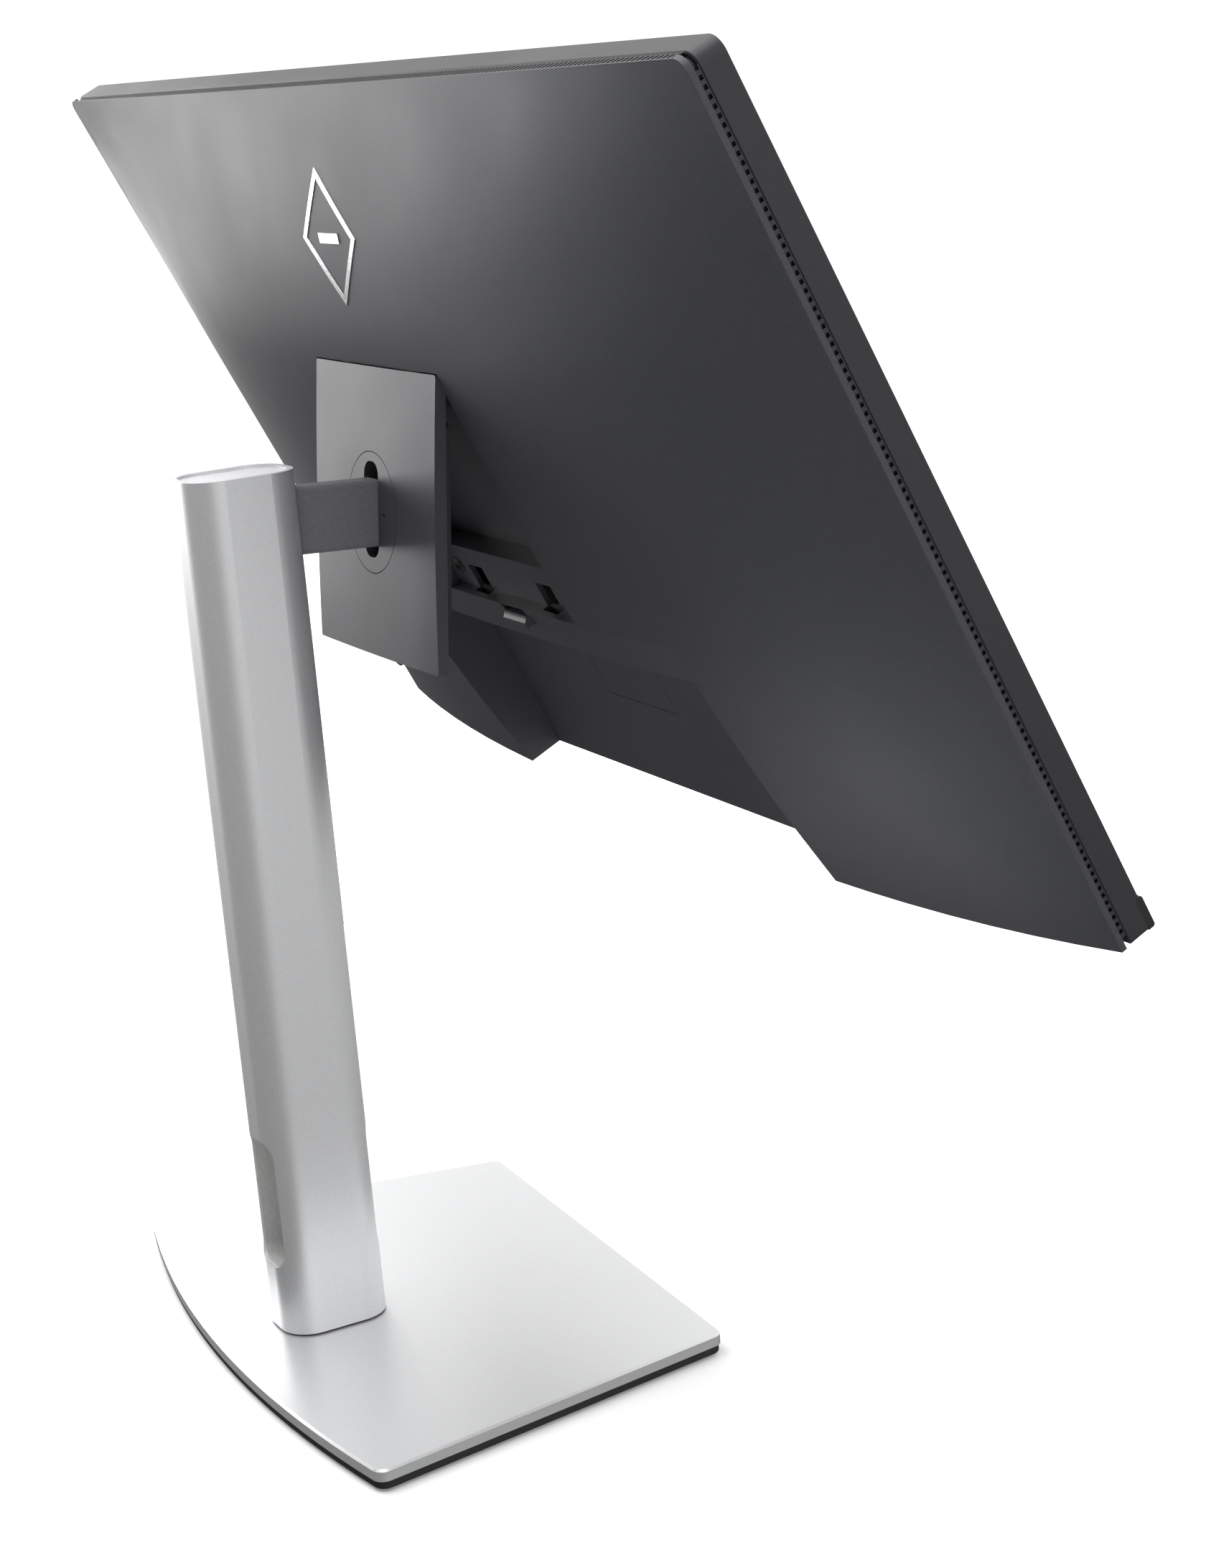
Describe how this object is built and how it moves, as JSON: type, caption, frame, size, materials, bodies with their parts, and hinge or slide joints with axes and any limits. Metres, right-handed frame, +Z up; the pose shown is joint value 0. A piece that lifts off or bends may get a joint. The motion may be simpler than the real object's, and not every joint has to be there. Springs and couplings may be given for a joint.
{
  "type": "desktop monitor",
  "caption": "Flat widescreen desktop monitor shown from behind, tipped out on the hooks of a height-adjustable aluminium column stand with a tapered base.",
  "frame": {"origin": "on the desk surface, on the vertical axis of the stand's column", "axes": "+Z up, X across the screen, the screen faces -Y"},
  "size_m": [0.6112, 0.2679, 0.532],
  "materials": {
    "silver_paint": "fine sparkle satin paint",
    "satin_aluminium": "satin bead blasted",
    "silver_cap": "satin",
    "pan_black": "fine texture",
    "foot_rubber": "matte",
    "steel_zinc": "zinc plated",
    "nylon": "smooth",
    "trim_black": "fine texture",
    "graphite_plastic": "fine spark-eroded texture",
    "graphite_arm": "fine spark-eroded texture",
    "graphite_rim": "fine texture",
    "liner_grey": "satin",
    "bezel_black": "semi gloss",
    "panel_glass": "anti-glare",
    "optic_film": "diffusing",
    "acrylic": "clear sheet",
    "circuit_green": "solder mask",
    "badge_metal": "polished",
    "light_white": "translucent"
  },
  "bodies": {
    "stand_base": {"base_top": "silver_paint", "base_pan": "pan_black", "base_ballast": "steel_zinc", "base_feet": "foot_rubber", "swivel_bushing": "nylon"},
    "stand_column": {"swivel_shaft": "trim_black", "swivel_retainer": "steel_zinc", "base_thumbscrew": "steel_zinc", "column": "satin_aluminium", "column_cap": "silver_cap", "cable_liner": "liner_grey", "slot_lining": "trim_black", "lift_rail": "steel_zinc", "spring_band": "steel_zinc"},
    "lift_arm": {"lift_carriage": "steel_zinc", "carriage_pads": "nylon", "drum_axle": "steel_zinc", "arm": "graphite_arm", "arm_core": "steel_zinc"},
    "lift_drum": {"spring_drum": "steel_zinc"},
    "tilt_head": {"pivot_disc": "graphite_plastic", "tilt_retainer": "steel_zinc", "tilt_pin": "steel_zinc", "tilt_washers": "steel_zinc"},
    "head_plate": {"plate_cover": "graphite_plastic", "plate_frame": "steel_zinc", "plate_inner": "graphite_rim", "plate_screws": "steel_zinc"},
    "display": {"rear_cover": "graphite_plastic", "service_cover": "graphite_plastic", "top_vent": "graphite_rim", "side_vents": "graphite_rim", "mid_frame": "graphite_rim", "chin_bezel": "bezel_black", "status_light": "light_white", "lcd_glass": "panel_glass", "diffuser_stack": "optic_film", "light_guide": "acrylic", "led_bar": "steel_zinc", "chassis_pan": "steel_zinc", "vesa_bracket": "steel_zinc", "vesa_screws": "trim_black", "main_board": "circuit_green", "power_board": "circuit_green", "board_shield": "steel_zinc", "control_board": "circuit_green", "port_power": "trim_black", "port_video_a": "steel_zinc", "port_video_b": "steel_zinc", "port_type_c": "steel_zinc", "port_serial": "steel_zinc", "port_network": "trim_black", "port_audio": "trim_black", "lock_slot": "steel_zinc", "badge": "badge_metal"},
    "release_slide": {"release_button": "graphite_plastic", "latch_bar": "steel_zinc"},
    "stick_gimbal": {"joystick_base": "trim_black"},
    "stick_cap": {"joystick_cap": "graphite_rim"},
    "power_key": {"power_button": "graphite_rim"}
  },
  "joints": [
    {"name": "column_swivel", "type": "hinge", "parent": "stand_base", "child": "stand_column", "pos_m": [0, 0, 0.01], "axis": [0, 0, 1], "range_deg": [-47.4, 42.6]},
    {"name": "head_lift", "type": "slide", "parent": "stand_column", "child": "lift_arm", "axis": [0, 0, 1], "range_m": [-0.15, 0]},
    {"name": "drum_roll", "type": "hinge", "parent": "lift_arm", "child": "lift_drum", "pos_m": [0, 0.0022, 0.3575], "axis": [1, 0, 0], "range_deg": [0, 990]},
    {"name": "head_tilt", "type": "hinge", "parent": "lift_arm", "child": "tilt_head", "pos_m": [0, -0.065, 0.352], "axis": [-1, 0, 0], "range_deg": [0, 26]},
    {"name": "head_pivot", "type": "hinge", "parent": "tilt_head", "child": "head_plate", "pos_m": [0, -0.06048, 0.35222], "axis": [0, 0.9956, 0.0941], "range_deg": [0, 90]},
    {"name": "display_tip", "type": "hinge", "parent": "head_plate", "child": "display", "pos_m": [0, -0.0661, 0.4117], "axis": [1, 0, 0], "range_deg": [0, 30.5]},
    {"name": "release_travel", "type": "slide", "parent": "display", "child": "release_slide", "axis": [0, 0.4281, 0.9037], "range_m": [0, 0.003]},
    {"name": "stick_tilt_x", "type": "hinge", "parent": "display", "child": "stick_gimbal", "pos_m": [0.272, -0.18705, 0.23441], "axis": [1, 0, 0], "range_deg": [-7, 7], "stiffness_Nm_per_rad": 0.05},
    {"name": "stick_tilt_z", "type": "hinge", "parent": "stick_gimbal", "child": "stick_cap", "pos_m": [0.272, -0.18705, 0.23441], "axis": [0, 0.4281, 0.9037], "range_deg": [-7, 7], "stiffness_Nm_per_rad": 0.05},
    {"name": "power_press", "type": "slide", "parent": "display", "child": "power_key", "axis": [0, 0.4281, 0.9037], "range_m": [0, 0.0008], "stiffness_N_per_m": 800}
  ],
  "couplings": [
    {"joint": "drum_roll", "follows": "head_lift", "rad_per_m": -115}
  ]
}
